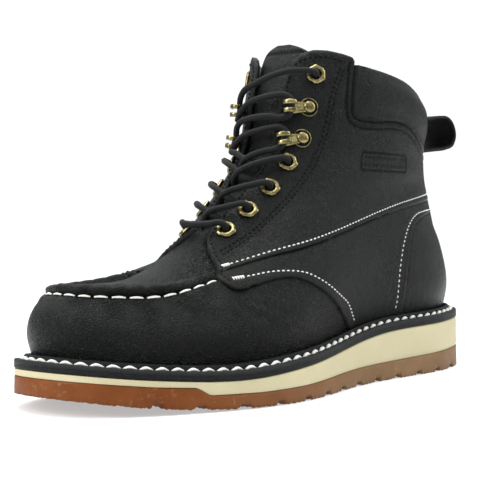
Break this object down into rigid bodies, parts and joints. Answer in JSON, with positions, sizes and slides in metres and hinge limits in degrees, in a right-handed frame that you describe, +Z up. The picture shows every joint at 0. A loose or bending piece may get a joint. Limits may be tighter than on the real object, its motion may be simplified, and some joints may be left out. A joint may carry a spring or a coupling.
{
  "type": "wedge sole work boot",
  "caption": "Ankle-high leather lace-up work boot with a moc toe, metal eyelets and speed hooks, a pull loop at the heel and a stitched welt over a cream and gum wedge sole.",
  "frame": {"origin": "on the floor, under the middle of the boot's bounding box", "axes": "+X to the toe, +Y to the boot's outer side, +Z up"},
  "size_m": [0.3174, 0.1138, 0.1783],
  "materials": {
    "black_leather": "satin grain",
    "loop_leather": "matt",
    "welt_black": "satin",
    "cream_foam": "matt foam rubber",
    "gum_rubber": "matt",
    "footbed_lining": "matt",
    "antique_brass": "aged, polished on edges",
    "lace_cord": "woven"
  },
  "bodies": {
    "root": {"outsole": "gum_rubber", "midsole": "cream_foam", "welt": "welt_black", "insole": "footbed_lining", "upper": "black_leather", "tongue": "black_leather", "backstay": "black_leather", "pull_loop": "loop_leather", "eyelet_outer_1": "antique_brass", "eyelet_outer_2": "antique_brass", "eyelet_outer_3": "antique_brass", "eyelet_outer_4": "antique_brass", "eyelet_outer_5": "antique_brass", "eyelet_inner_1": "antique_brass", "eyelet_inner_2": "antique_brass", "eyelet_inner_3": "antique_brass", "eyelet_inner_4": "antique_brass", "eyelet_inner_5": "antique_brass", "hook_outer_1": "antique_brass", "hook_outer_2": "antique_brass", "hook_inner_1": "antique_brass", "hook_inner_2": "antique_brass", "lace_bar": "lace_cord", "lace_crossing_1": "lace_cord", "lace_crossing_2": "lace_cord", "lace_crossing_3": "lace_cord", "lace_crossing_4": "lace_cord", "lace_turn_1": "lace_cord", "lace_turn_2": "lace_cord"}
  },
  "joints": []
}
